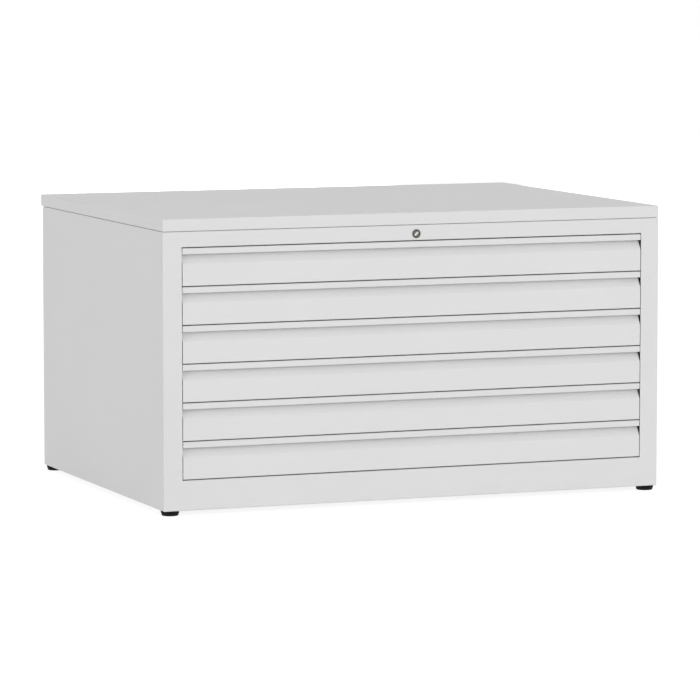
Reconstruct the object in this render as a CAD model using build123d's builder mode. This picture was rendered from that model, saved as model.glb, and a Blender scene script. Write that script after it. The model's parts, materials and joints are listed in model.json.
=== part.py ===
"""Plan chest of folded sheet steel: casing, lid, six wide drawers on telescopic slides and a central lock.

Millimetres. The origin is on the floor below the centre of the chest, +X points to its right,
the drawers face -Y and +Z is up. Sheet pieces are folded from flat stock of even thickness.
"""

import math
import os

from build123d import *

# Casing, measured over its outer faces
CASING_WIDTH = 1100.0
CASING_DEPTH = 800.0
CASING_SHEET = 1.2
CASING_FOLD = 2.0
STILE_WIDTH = 40.0
TOP_RAIL_HEIGHT = 31.5
BOTTOM_RAIL_HEIGHT = 61.5
RAIL_FLANGE = 40.0
RAIL_RETURN = 12.0
REAR_FLANGE = 25.0

# Lid, a folded tray turned upside down
COVER_HEIGHT = 25.3
COVER_OVERHANG = 12.0
COVER_FLANGE = 22.0
COVER_SEAM = 0.7
COVER_SEAT_DIAMETER = 16.0

# Feet and the nuts that they screw into
FOOT_HEIGHT = 10.0
FOOT_TOP_DIAMETER = 39.0
FOOT_BASE_DIAMETER = 34.0
FOOT_INSET = 19.5
FOOT_BORE_DEPTH = 6.0
STUD_DIAMETER = 8.0
STUD_LENGTH = 20.0
BRACKET_SIDE = 33.0
BRACKET_THICKNESS = 3.0
STUD_NUT_FLATS = 13.0
STUD_NUT_HEIGHT = 6.5

# Drawers
DRAWER_COUNT = 6
FRONT_HEIGHT = 76.5
FRONT_GAP = 2.0
FRONT_SIDE_GAP = 1.5
DRAWER_SHEET = 1.0
DRAWER_FOLD = 2.0
LIP_HEIGHT = 12.0
PULL_DEPTH = 13.0
PULL_SLOPE_HEIGHT = 20.5
FRONT_WELD_FLANGE = 10.0
TRAY_REAR_SPACE = 67.0
TRAY_TOP_SPACE = 12.5
TRAY_RISE = 5.0
TRAY_FRONT_RISE = 9.0
TRAY_FLANGE = 8.0
HOOD_DEPTH = 100.0
HOOD_HEM = 8.0

# Telescopic slides, one pair to a drawer
SLIDE_LENGTH = 700.0
SLIDE_HEIGHT = 45.7
SLIDE_THICKNESS = 12.7
SLIDE_SHEET = 1.2
SLIDE_SETBACK = 4.0
MIDDLE_HEIGHT = 36.0
INNER_HEIGHT = 26.8
SLIDE_LIP = 2.4
FIXED_RIM = 12.0
MIDDLE_OFFSET = 3.4
MIDDLE_RIM = 11.4
INNER_RIM = 6.0
BALL_STRIP_WIDTH = 4.0
BALL_STRIP_LENGTH = 300.0
BALL_STRIP_MARGIN = 20.0
BALL_CLEARANCE = 0.1

# Uprights that carry the slides
UPRIGHT_WIDTH = 40.0
UPRIGHT_SHEET = 1.5
UPRIGHT_REVEAL = 1.0

# Screws
SLIDE_SCREW_DIAMETER = 4.0
SLIDE_SCREW_HEAD_DIAMETER = 8.0
SLIDE_SCREW_HEAD_HEIGHT = 1.6
SLIDE_SCREW_LENGTH = 8.0
FRONT_SCREW_INSET = 48.0
REAR_SCREW_INSET = 57.0
COVER_SCREW_DIAMETER = 5.0
COVER_SCREW_HEAD_DIAMETER = 9.5
COVER_SCREW_HEAD_HEIGHT = 3.0
COVER_SCREW_LENGTH = 10.0
COVER_NUT_FLATS = 8.0
COVER_NUT_HEIGHT = 4.0
COVER_SCREW_COUNT = 3
COVER_SCREW_END = 110.0
THREAD_CLEARANCE = 0.05
HOLE_CLEARANCE = 0.25

# Lock in the top rail, its rod to the back and the bar that holds the drawers
LOCK_DROP = 18.0
LOCK_FACE_DIAMETER = 19.0
LOCK_PROUD = 1.0
LOCK_BARREL_DIAMETER = 16.0
LOCK_BARREL_LENGTH = 22.0
LOCK_NUT_FLATS = 20.0
LOCK_NUT_THICKNESS = 4.0
PLUG_DIAMETER = 12.0
PLUG_RECESS = 0.3
PLUG_COLLAR_DIAMETER = 15.0
PLUG_COLLAR_THICKNESS = 1.5
PLUG_COLLAR_PLAY = 0.3
TAIL_SQUARE = 6.0
TAIL_LENGTH = 9.0
KEYWAY_LENGTH = 8.5
KEYWAY_WIDTH = 2.0
KEYWAY_DEPTH = 14.0
KEYWAY_ANGLE = -45.0
ROD_DIAMETER = 8.0
ROD_SLEEVE_DIAMETER = 14.0
ROD_SLEEVE_LENGTH = 16.0
CRANK_RADIUS = 9.0
CRANK_DISC_DIAMETER = 24.0
CRANK_THICKNESS = 3.0
CRANK_PIN_DIAMETER = 4.0
CRANK_PIN_PROUD = 2.0
CRANK_TURN = 90.0
RUNNING_CLEARANCE = 0.05
BAR_WIDTH = 32.0
BAR_THICKNESS = 3.0
BAR_GAP = 3.0
BAR_STANDOFF = 25.0
BAR_TOP_MARGIN = 4.0
BAR_FOOT_MARGIN = 12.0
BAR_SLOT_PLAY = 0.5
HOOK_THICKNESS = 3.0
HOOK_ARM_HEIGHT = 8.0
HOOK_TIP_WIDTH = 5.0
HOOK_GAP = 2.5
HOOK_CLEARANCE = 1.5
CATCH_WIDTH = 40.0
CATCH_DEPTH = 20.0
CATCH_HEIGHT = 14.0
CATCH_SHEET = 1.5
CATCH_DROP = 6.0
GUIDE_WIDTH = 48.0
GUIDE_HEIGHT = 18.0
GUIDE_WALL = 4.0
GUIDE_CLEARANCE = 0.3
ROD_BRACKET_WIDTH = 40.0
ROD_BRACKET_THICKNESS = 2.0
ROD_BRACKET_GAP = 14.0
ROD_BRACKET_DROP = 14.0
ROD_BRACKET_FOLD = 3.0

# Levels and planes worked out from the sizes above
FRONT_Y = (LOCK_PROUD - CASING_DEPTH - COVER_OVERHANG) / 2
BACK_Y = FRONT_Y + CASING_DEPTH
COVER_BACK_Y = BACK_Y + COVER_OVERHANG
HALF_WIDTH = CASING_WIDTH / 2
OPENING_HALF_WIDTH = HALF_WIDTH - STILE_WIDTH
PITCH = FRONT_HEIGHT + FRONT_GAP
OPENING_HEIGHT = DRAWER_COUNT * PITCH + FRONT_GAP
CASING_BOTTOM = FOOT_HEIGHT
OPENING_BOTTOM = CASING_BOTTOM + BOTTOM_RAIL_HEIGHT
OPENING_TOP = OPENING_BOTTOM + OPENING_HEIGHT
CASING_TOP = OPENING_TOP + TOP_RAIL_HEIGHT
COVER_BOTTOM = CASING_TOP + COVER_SEAM
COVER_TOP = COVER_BOTTOM + COVER_HEIGHT
FLOOR_Z = CASING_BOTTOM + CASING_SHEET
CEILING_Z = CASING_TOP - CASING_SHEET
BASE_TOP = FLOOR_Z + CASING_SHEET
BACK_PANEL_Y = BACK_Y - 2 * CASING_SHEET
INNER_HALF_WIDTH = HALF_WIDTH - CASING_SHEET
FRONT_HALF_WIDTH = OPENING_HALF_WIDTH - FRONT_SIDE_GAP
UPRIGHT_HALF_WIDTH = OPENING_HALF_WIDTH - UPRIGHT_REVEAL
TRAY_HALF_WIDTH = UPRIGHT_HALF_WIDTH - SLIDE_THICKNESS
TRAY_FRONT_Y = FRONT_Y + PULL_DEPTH + DRAWER_SHEET
TRAY_HEIGHT = FRONT_HEIGHT - TRAY_TOP_SPACE - TRAY_RISE
TRAY_BACK_Y = BACK_Y - TRAY_REAR_SPACE
SLIDE_FRONT_Y = TRAY_FRONT_Y + SLIDE_SETBACK
SLIDE_CENTRE_RISE = TRAY_RISE + TRAY_HEIGHT / 2
LOCK_Z = CASING_TOP - LOCK_DROP
BARREL_END_Y = FRONT_Y + LOCK_BARREL_LENGTH
COLLAR_Y = BARREL_END_Y + PLUG_COLLAR_PLAY
TAIL_Y = COLLAR_Y + PLUG_COLLAR_THICKNESS
BAR_Y = BACK_PANEL_Y - BAR_STANDOFF - BAR_THICKNESS
CRANK_Y = BAR_Y - BAR_GAP - CRANK_THICKNESS
CRANK_REST_ANGLE = 180 + CRANK_TURN / 2
BAR_TRAVEL = 2 * CRANK_RADIUS * math.sin(math.radians(CRANK_TURN / 2))
PIN_REST_Z = LOCK_Z - BAR_TRAVEL / 2
CATCH_TOP_RISE = TRAY_RISE + TRAY_HEIGHT - CATCH_DROP
CATCH_LIP_BOTTOM_RISE = CATCH_TOP_RISE - CATCH_HEIGHT
HOOK_TIP_BACK_Y = TRAY_BACK_Y + CATCH_DEPTH - CATCH_SHEET - HOOK_GAP

os.makedirs("parts", exist_ok=True)


def drawer_bottom(number):
    """Height of the lower edge of a drawer's front, where drawer 1 is the top one."""
    return OPENING_BOTTOM + FRONT_GAP + (DRAWER_COUNT - number) * PITCH


def save(piece, name):
    """Names a finished piece after its node and writes its STEP file."""
    piece.label = name
    export_step(piece, f"parts/{name}.step")


def block(low, high, mode=Mode.ADD):
    """Adds or cuts the box between two opposite corners."""
    centre = [(a + b) / 2 for a, b in zip(low, high)]
    size = [b - a for a, b in zip(low, high)]
    with Locations(Location(centre)):
        Box(*size, mode=mode)


def folded_strip(plane, points, radii, sheet, length):
    """Adds a strip of sheet that lies to the right of points, half its length to each side of the plane."""
    with BuildSketch(plane) as section:
        with BuildLine():
            FilletPolyline(*points, radius=radii)
            offset(amount=sheet, side=Side.RIGHT)
        make_face()
    extrude(section.sketch, amount=length / 2, both=True)


def hexagon_prism(plane, flats, height, bore):
    """Adds a nut: a hexagonal prism with a round bore."""
    with BuildSketch(plane) as section:
        RegularPolygon(flats / 2, 6, major_radius=False)
        Circle(bore / 2, mode=Mode.SUBTRACT)
    extrude(section.sketch, amount=height)


def disc(plane, diameter, height, mode=Mode.ADD):
    """Adds or cuts a round cylinder that stands on the plane."""
    with BuildSketch(plane) as section:
        Circle(diameter / 2)
    extrude(section.sketch, amount=height, mode=mode)


def facing_back(x, y, z):
    """Plane at a point whose normal points to the back of the chest and whose x axis points left."""
    return Plane(origin=(x, y, z), x_dir=(-1, 0, 0), z_dir=(0, 1, 0))


def foot_centres():
    """Centres of the four feet, near the corners of the casing."""
    x = HALF_WIDTH - FOOT_INSET
    return [(side * x, y) for side in (-1, 1) for y in (FRONT_Y + FOOT_INSET, BACK_Y - FOOT_INSET)]


def cover_screw_centres():
    """Centres of the screws that hold the lid, in a row along each side."""
    x = INNER_HALF_WIDTH - (COVER_FLANGE - CASING_SHEET) / 2
    step = (CASING_DEPTH - 2 * COVER_SCREW_END) / (COVER_SCREW_COUNT - 1)
    rows = [FRONT_Y + COVER_SCREW_END + step * i for i in range(COVER_SCREW_COUNT)]
    return [(side * x, y) for side in (-1, 1) for y in rows]


def upright_centres():
    """Depths of the middles of the front and rear uprights, where the slides' screws go in."""
    return [SLIDE_FRONT_Y + FRONT_SCREW_INSET, SLIDE_FRONT_Y + SLIDE_LENGTH - REAR_SCREW_INSET]


def slide_heights():
    """Heights of the middle lines of the slides, one for each drawer."""
    return [drawer_bottom(number) + SLIDE_CENTRE_RISE for number in range(1, DRAWER_COUNT + 1)]


def slide_screw_seats(side):
    """Points on the uprights' faces where a side's slide screws go in."""
    return [(side * UPRIGHT_HALF_WIDTH, y, z) for y in upright_centres() for z in slide_heights()]


def side_plane(x, y, z, side):
    """Plane at a point of one side, whose normal points away from the middle of the chest."""
    return Plane(origin=(x, y, z), x_dir=(0, side, 0), z_dir=(side, 0, 0))


def foot_holes(bottom, height):
    """Cuts the clearance holes of the studs."""
    for x, y in foot_centres():
        disc(Plane((x, y, bottom)), STUD_DIAMETER + 2 * HOLE_CLEARANCE, height, Mode.SUBTRACT)


def cover_holes(bottom, height):
    """Cuts the clearance holes of the lid's screws."""
    for x, y in cover_screw_centres():
        disc(Plane((x, y, bottom)), COVER_SCREW_DIAMETER + 2 * HOLE_CLEARANCE, height, Mode.SUBTRACT)


# Side panels: shallow pans whose front flange is the stile beside the drawers
def make_side_panel(side):
    """One side of the casing, with its stile, its top, bottom and rear flanges."""
    inside, outside = side * OPENING_HALF_WIDTH, side * HALF_WIDTH
    with BuildPart() as panel:
        block((min(inside, outside), FRONT_Y, CASING_BOTTOM), (max(inside, outside), BACK_Y, CASING_TOP))
        far = panel.faces().sort_by(Axis.X)[-1 if side > 0 else 0]
        long_edges = panel.edges().filter_by(Axis.X)
        fillet(far.edges() + long_edges, CASING_FOLD)
        wall = side * INNER_HALF_WIDTH
        block(
            (min(inside, wall), FRONT_Y + CASING_SHEET, FLOOR_Z),
            (max(inside, wall), BACK_Y - CASING_SHEET, CEILING_Z),
            Mode.SUBTRACT,
        )
        rear = side * (HALF_WIDTH - REAR_FLANGE)
        cut_low = (min(inside, rear), BACK_Y - CASING_SHEET, CASING_BOTTOM)
        block(cut_low, (max(inside, rear), BACK_Y, CASING_TOP), Mode.SUBTRACT)
        foot_holes(CASING_BOTTOM, CASING_SHEET)
        cover_holes(CEILING_Z, CASING_SHEET)
    return panel.part


for side, word in ((-1, "left"), (1, "right")):
    save(make_side_panel(side), f"{word}_side_panel")

# Rails above and below the drawers, folded channels between the stiles
rail_width = 2 * OPENING_HALF_WIDTH
with BuildPart() as top_rail:
    folded_strip(
        Plane.YZ,
        [
            (FRONT_Y + RAIL_RETURN, OPENING_TOP),
            (FRONT_Y, OPENING_TOP),
            (FRONT_Y, CASING_TOP),
            (FRONT_Y + RAIL_FLANGE, CASING_TOP),
        ],
        [CASING_FOLD, CASING_FOLD],
        CASING_SHEET,
        rail_width,
    )
    lock_hole = LOCK_BARREL_DIAMETER + 2 * HOLE_CLEARANCE
    disc(facing_back(0, FRONT_Y, LOCK_Z), lock_hole, CASING_SHEET, Mode.SUBTRACT)
save(top_rail.part, "top_rail")

with BuildPart() as bottom_rail:
    folded_strip(
        Plane.YZ,
        [
            (FRONT_Y + RAIL_FLANGE, CASING_BOTTOM),
            (FRONT_Y, CASING_BOTTOM),
            (FRONT_Y, OPENING_BOTTOM),
            (FRONT_Y + RAIL_RETURN, OPENING_BOTTOM),
        ],
        [CASING_FOLD, CASING_FOLD],
        CASING_SHEET,
        rail_width,
    )
save(bottom_rail.part, "bottom_rail")

# Base panel, a flat sheet on the bottom flanges
with BuildPart() as base_panel:
    block(
        (-INNER_HALF_WIDTH, FRONT_Y + CASING_FOLD, FLOOR_Z),
        (INNER_HALF_WIDTH, BACK_Y - CASING_SHEET, BASE_TOP),
    )
    foot_holes(FLOOR_Z, CASING_SHEET)
save(base_panel.part, "base_panel")

# Back panel, set inside the rear flanges, with a flange along its top for the lid
with BuildPart() as back_panel:
    back_of_panel = BACK_PANEL_Y + CASING_SHEET
    block((-INNER_HALF_WIDTH, BACK_PANEL_Y, BASE_TOP), (INNER_HALF_WIDTH, back_of_panel, CEILING_Z))
    block(
        (-OPENING_HALF_WIDTH, BACK_PANEL_Y - RAIL_FLANGE, CEILING_Z),
        (OPENING_HALF_WIDTH, back_of_panel, CASING_TOP),
    )
save(back_panel.part, "back_panel")

# Lid: a shallow tray upside down, whose lower flange has a raised seat round each screw
with BuildPart() as top_cover:
    block((-HALF_WIDTH, FRONT_Y, COVER_BOTTOM), (HALF_WIDTH, COVER_BACK_Y, COVER_TOP))
    fillet(top_cover.edges(), CASING_FOLD)
    block(
        (-INNER_HALF_WIDTH, FRONT_Y + CASING_SHEET, COVER_BOTTOM + CASING_SHEET),
        (INNER_HALF_WIDTH, COVER_BACK_Y - CASING_SHEET, COVER_TOP - CASING_SHEET),
        Mode.SUBTRACT,
    )
    window = HALF_WIDTH - COVER_FLANGE
    block(
        (-window, FRONT_Y + COVER_FLANGE, COVER_BOTTOM),
        (window, BACK_Y - COVER_FLANGE, COVER_BOTTOM + CASING_SHEET),
        Mode.SUBTRACT,
    )
    for x, y in cover_screw_centres():
        disc(Plane((x, y, CASING_TOP)), COVER_SEAT_DIAMETER, COVER_SEAM)
    cover_holes(CASING_TOP, COVER_SEAM + CASING_SHEET)
save(top_cover.part, "top_cover")

# Screws and nuts that hold the lid from inside the casing
with BuildPart() as cover_screws:
    for x, y in cover_screw_centres():
        below = Plane((x, y, CEILING_Z - COVER_SCREW_HEAD_HEIGHT))
        disc(below, COVER_SCREW_HEAD_DIAMETER, COVER_SCREW_HEAD_HEIGHT)
        disc(below.offset(COVER_SCREW_HEAD_HEIGHT), COVER_SCREW_DIAMETER, COVER_SCREW_LENGTH)
save(cover_screws.part, "cover_screws")

with BuildPart() as cover_nuts:
    for x, y in cover_screw_centres():
        seat = Plane((x, y, COVER_BOTTOM + CASING_SHEET))
        hexagon_prism(seat, COVER_NUT_FLATS, COVER_NUT_HEIGHT, COVER_SCREW_DIAMETER + 2 * THREAD_CLEARANCE)
save(cover_nuts.part, "cover_nuts")


# Uprights: channels against the side panels, drilled for the slides
def make_uprights(side):
    """The front and rear upright of one side."""
    face, wall = side * UPRIGHT_HALF_WIDTH, side * INNER_HALF_WIDTH
    hole = SLIDE_SCREW_DIAMETER + 2 * THREAD_CLEARANCE
    with BuildPart() as uprights:
        for y in upright_centres():
            low, high = y - UPRIGHT_WIDTH / 2, y + UPRIGHT_WIDTH / 2
            with BuildSketch(Plane.XY.offset(BASE_TOP)) as section:
                with BuildLine():
                    FilletPolyline(
                        (wall, low),
                        (face, low),
                        (face, high),
                        (wall, high),
                        radius=CASING_FOLD,
                    )
                    offset(amount=UPRIGHT_SHEET, side=Side.LEFT if side < 0 else Side.RIGHT)
                make_face()
            extrude(section.sketch, amount=CEILING_Z - BASE_TOP)
        for seat in slide_screw_seats(side):
            disc(side_plane(*seat, side), hole, UPRIGHT_SHEET, Mode.SUBTRACT)
    return uprights.part


for side, word in ((-1, "left"), (1, "right")):
    save(make_uprights(side), f"{word}_uprights")


def slide_plane(side, z):
    """Plane at the front end of a slide: x runs from the upright to the drawer, the normal to the back."""
    return Plane(origin=(side * UPRIGHT_HALF_WIDTH, SLIDE_FRONT_Y, z), x_dir=(-side, 0, 0), z_dir=(0, 1, 0))


def slide_member(plane, base, rim, height, lip=0.0):
    """Adds a channel whose web lies at base and whose flanges reach to rim, with edges turned in by lip."""
    top = height / 2
    points = [(rim, top), (base, top), (base, -top), (rim, -top)]
    if lip:
        points = [(rim, top - lip), *points, (rim, lip - top)]
    with BuildSketch(plane) as section:
        with BuildLine():
            Polyline(*points)
            offset(amount=SLIDE_SHEET, side=Side.LEFT if rim > base else Side.RIGHT)
        make_face()
    extrude(section.sketch, amount=SLIDE_LENGTH)


def ball_strips(side, z, low, high, start):
    """Adds the upper and lower ball strips that fill a slide between two half heights."""
    middle = side * (UPRIGHT_HALF_WIDTH - (MIDDLE_OFFSET + MIDDLE_RIM) / 2)
    near, far = middle - BALL_STRIP_WIDTH / 2, middle + BALL_STRIP_WIDTH / 2
    for up in (-1, 1):
        bottom, top = sorted((z + up * (low + BALL_CLEARANCE), z + up * (high - BALL_CLEARANCE)))
        block((near, start, bottom), (far, start + BALL_STRIP_LENGTH, top))


# Fixed slide members, screwed to the uprights
with BuildPart() as fixed_slide_members:
    for side in (-1, 1):
        for z in slide_heights():
            slide_member(slide_plane(side, z), 0.0, FIXED_RIM, SLIDE_HEIGHT, SLIDE_LIP)
        for seat in slide_screw_seats(side):
            inside = side_plane(*seat, side).offset(-SLIDE_SHEET)
            disc(inside, SLIDE_SCREW_DIAMETER + 2 * HOLE_CLEARANCE, SLIDE_SHEET, Mode.SUBTRACT)
save(fixed_slide_members.part, "fixed_slide_members")

with BuildPart() as slide_screws:
    for side in (-1, 1):
        for seat in slide_screw_seats(side):
            under_head = side_plane(*seat, side).offset(-SLIDE_SHEET)
            head = under_head.offset(-SLIDE_SCREW_HEAD_HEIGHT)
            disc(head, SLIDE_SCREW_HEAD_DIAMETER, SLIDE_SCREW_HEAD_HEIGHT)
            disc(under_head, SLIDE_SCREW_DIAMETER, SLIDE_SCREW_LENGTH)
save(slide_screws.part, "slide_screws")


# Drawers
def make_front(bottom):
    """A drawer's front, one folded sheet: lip, finger pull with open ends, slope, face and lower flange."""
    face, top = FRONT_Y, bottom + FRONT_HEIGHT
    back_of_face, back_of_pull = face + DRAWER_SHEET, face + PULL_DEPTH + DRAWER_SHEET
    lip_bottom = top - LIP_HEIGHT
    inside_fold = DRAWER_FOLD - DRAWER_SHEET
    with BuildPart() as front:
        folded_strip(
            Plane.YZ,
            [
                (face, lip_bottom),
                (face, top),
                (back_of_pull, top),
                (back_of_pull, lip_bottom),
                (back_of_face, lip_bottom - PULL_SLOPE_HEIGHT),
                (back_of_face, bottom + DRAWER_SHEET),
                (back_of_pull - DRAWER_SHEET, bottom + DRAWER_SHEET),
                (back_of_pull - DRAWER_SHEET, bottom + DRAWER_SHEET + FRONT_WELD_FLANGE),
            ],
            [DRAWER_FOLD] * 3 + [inside_fold] * 3,
            DRAWER_SHEET,
            2 * FRONT_HALF_WIDTH,
        )
    return front.part


def make_tray(bottom):
    """A drawer's tray: floor, sides and back with turned-in upper edges, and a taller front wall."""
    low, high = bottom + TRAY_RISE, bottom + TRAY_RISE + TRAY_HEIGHT
    with BuildPart() as tray:
        block((-TRAY_HALF_WIDTH, TRAY_FRONT_Y, low), (TRAY_HALF_WIDTH, TRAY_BACK_Y, high))
        rear = tray.faces().sort_by(Axis.Y)[-1].edges().filter_by(Axis.Z)
        under = tray.faces().sort_by(Axis.Z)[0].edges() - tray.faces().sort_by(Axis.Y)[0].edges()
        fillet(rear + under, DRAWER_FOLD)
        block(
            (DRAWER_SHEET - TRAY_HALF_WIDTH, TRAY_FRONT_Y + DRAWER_SHEET, low + DRAWER_SHEET),
            (TRAY_HALF_WIDTH - DRAWER_SHEET, TRAY_BACK_Y - DRAWER_SHEET, high - DRAWER_SHEET),
            Mode.SUBTRACT,
        )
        edge = DRAWER_SHEET + TRAY_FLANGE
        block(
            (edge - TRAY_HALF_WIDTH, TRAY_FRONT_Y + DRAWER_SHEET, high - DRAWER_SHEET),
            (TRAY_HALF_WIDTH - edge, TRAY_BACK_Y - edge, high),
            Mode.SUBTRACT,
        )
        block(
            (-TRAY_HALF_WIDTH, TRAY_FRONT_Y, high),
            (TRAY_HALF_WIDTH, TRAY_FRONT_Y + DRAWER_SHEET, high + TRAY_FRONT_RISE),
        )
    return tray.part


def make_rear_hood(bottom):
    """The sheet over the back of a drawer that keeps papers from riding up, with a doubled front edge."""
    seat = bottom + TRAY_RISE + TRAY_HEIGHT
    half = TRAY_HALF_WIDTH - DRAWER_SHEET
    with BuildPart() as hood:
        edge = TRAY_BACK_Y - HOOD_DEPTH
        block((-half, edge, seat), (half, TRAY_BACK_Y - DRAWER_SHEET, seat + DRAWER_SHEET))
        block((-half, edge, seat + DRAWER_SHEET), (half, edge + HOOD_HEM, seat + 2 * DRAWER_SHEET))
    return hood.part


def make_catch(bottom):
    """The bracket on a drawer's back that the lock bar's hook holds, a channel open below."""
    top, low = bottom + CATCH_TOP_RISE, bottom + CATCH_LIP_BOTTOM_RISE
    outer = TRAY_BACK_Y + CATCH_DEPTH
    with BuildPart() as catch:
        folded_strip(
            Plane.YZ,
            [(TRAY_BACK_Y, low), (TRAY_BACK_Y, top), (outer, top), (outer, low)],
            CASING_FOLD,
            CATCH_SHEET,
            CATCH_WIDTH,
        )
    return catch.part


def make_inner_members(bottom):
    """The pair of slide members that are fixed to a drawer's sides."""
    z = bottom + SLIDE_CENTRE_RISE
    with BuildPart() as members:
        for side in (-1, 1):
            slide_member(slide_plane(side, z), SLIDE_THICKNESS, INNER_RIM, INNER_HEIGHT)
    return members.part


def make_middle_members(bottom):
    """The pair of middle slide members with the ball strips that run above and below them."""
    z = bottom + SLIDE_CENTRE_RISE
    rear_strip = SLIDE_FRONT_Y + SLIDE_LENGTH - BALL_STRIP_MARGIN - BALL_STRIP_LENGTH
    front_strip = SLIDE_FRONT_Y + BALL_STRIP_MARGIN
    with BuildPart() as members:
        for side in (-1, 1):
            slide_member(slide_plane(side, z), MIDDLE_OFFSET, MIDDLE_RIM, MIDDLE_HEIGHT)
            ball_strips(side, z, MIDDLE_HEIGHT / 2, SLIDE_HEIGHT / 2 - SLIDE_SHEET, rear_strip)
            ball_strips(side, z, INNER_HEIGHT / 2, MIDDLE_HEIGHT / 2 - SLIDE_SHEET, front_strip)
    return members.part


for number in range(1, DRAWER_COUNT + 1):
    bottom = drawer_bottom(number)
    save(make_front(bottom), f"drawer_{number}_front")
    save(make_tray(bottom), f"drawer_{number}_tray")
    save(make_rear_hood(bottom), f"drawer_{number}_rear_hood")
    save(make_catch(bottom), f"drawer_{number}_catch")
    save(make_inner_members(bottom), f"drawer_{number}_inner_members")
    save(make_middle_members(bottom), f"drawer_{number}_middle_members")

# Feet: moulded pads round threaded studs, screwed into nuts on brackets in the casing's corners
with BuildPart() as foot_pads:
    for x, y in foot_centres():
        with Locations((x, y, FOOT_HEIGHT / 2)):
            Cone(FOOT_BASE_DIAMETER / 2, FOOT_TOP_DIAMETER / 2, FOOT_HEIGHT)
        disc(Plane((x, y, FOOT_HEIGHT - FOOT_BORE_DEPTH)), STUD_DIAMETER, FOOT_BORE_DEPTH, Mode.SUBTRACT)
save(foot_pads.part, "foot_pads")

with BuildPart() as foot_studs:
    for x, y in foot_centres():
        disc(Plane((x, y, FOOT_HEIGHT - FOOT_BORE_DEPTH)), STUD_DIAMETER, FOOT_BORE_DEPTH + STUD_LENGTH)
save(foot_studs.part, "foot_studs")

with BuildPart() as foot_brackets:
    reach = BRACKET_SIDE / 2
    bore = STUD_DIAMETER + 2 * THREAD_CLEARANCE
    for x, y in foot_centres():
        plate_top = BASE_TOP + BRACKET_THICKNESS
        block((x - reach, y - reach, BASE_TOP), (x + reach, y + reach, plate_top))
        disc(Plane((x, y, BASE_TOP)), bore, BRACKET_THICKNESS, Mode.SUBTRACT)
        hexagon_prism(Plane((x, y, plate_top)), STUD_NUT_FLATS, STUD_NUT_HEIGHT, bore)
save(foot_brackets.part, "foot_brackets")

# Lock barrel through the top rail and the nut behind it
with BuildPart() as lock_barrel:
    disc(facing_back(0, FRONT_Y - LOCK_PROUD, LOCK_Z), LOCK_FACE_DIAMETER, LOCK_PROUD)
    disc(facing_back(0, FRONT_Y, LOCK_Z), LOCK_BARREL_DIAMETER, LOCK_BARREL_LENGTH)
    disc(
        facing_back(0, FRONT_Y - LOCK_PROUD, LOCK_Z),
        PLUG_DIAMETER + 2 * RUNNING_CLEARANCE,
        LOCK_PROUD + LOCK_BARREL_LENGTH,
        Mode.SUBTRACT,
    )
save(lock_barrel.part, "lock_barrel")

with BuildPart() as lock_nut:
    hexagon_prism(
        facing_back(0, FRONT_Y + CASING_SHEET, LOCK_Z),
        LOCK_NUT_FLATS,
        LOCK_NUT_THICKNESS,
        LOCK_BARREL_DIAMETER + 2 * THREAD_CLEARANCE,
    )
save(lock_nut.part, "lock_nut")

# Lock plug, with its keyway in front and a collar and a square tail behind
with BuildPart() as lock_plug:
    plug_face = FRONT_Y - LOCK_PROUD + PLUG_RECESS
    disc(facing_back(0, plug_face, LOCK_Z), PLUG_DIAMETER, COLLAR_Y - plug_face)
    disc(facing_back(0, COLLAR_Y, LOCK_Z), PLUG_COLLAR_DIAMETER, PLUG_COLLAR_THICKNESS)
    with BuildSketch(facing_back(0, TAIL_Y, LOCK_Z)):
        Rectangle(TAIL_SQUARE, TAIL_SQUARE)
    extrude(amount=TAIL_LENGTH)
    with BuildSketch(facing_back(0, plug_face, LOCK_Z)):
        Rectangle(KEYWAY_LENGTH, KEYWAY_WIDTH, rotation=KEYWAY_ANGLE)
    extrude(amount=KEYWAY_DEPTH, mode=Mode.SUBTRACT)
save(lock_plug.part, "lock_plug")

# Rod from the plug's tail to the back of the chest
with BuildPart() as lock_rod:
    sleeve_end = TAIL_Y + ROD_SLEEVE_LENGTH
    disc(facing_back(0, TAIL_Y, LOCK_Z), ROD_SLEEVE_DIAMETER, ROD_SLEEVE_LENGTH)
    disc(facing_back(0, sleeve_end, LOCK_Z), ROD_DIAMETER, CRANK_Y + CRANK_THICKNESS - sleeve_end)
    with BuildSketch(facing_back(0, TAIL_Y, LOCK_Z)):
        Rectangle(TAIL_SQUARE + 2 * RUNNING_CLEARANCE, TAIL_SQUARE + 2 * RUNNING_CLEARANCE)
    extrude(amount=TAIL_LENGTH + RUNNING_CLEARANCE, mode=Mode.SUBTRACT)
save(lock_rod.part, "lock_rod")

# Crank on the rod's end, whose pin works in the lock bar's slot
pin_angle = math.radians(CRANK_REST_ANGLE)
pin_x, pin_z = CRANK_RADIUS * math.cos(pin_angle), LOCK_Z + CRANK_RADIUS * math.sin(pin_angle)
with BuildPart() as lock_crank:
    disc(facing_back(0, CRANK_Y, LOCK_Z), CRANK_DISC_DIAMETER, CRANK_THICKNESS)
    disc(facing_back(0, CRANK_Y, LOCK_Z), ROD_DIAMETER, CRANK_THICKNESS, Mode.SUBTRACT)
    pin_start = CRANK_Y + CRANK_THICKNESS
    pin_end = BAR_Y + BAR_THICKNESS + CRANK_PIN_PROUD
    disc(facing_back(pin_x, pin_start, pin_z), CRANK_PIN_DIAMETER, pin_end - pin_start)
save(lock_crank.part, "lock_crank")

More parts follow.
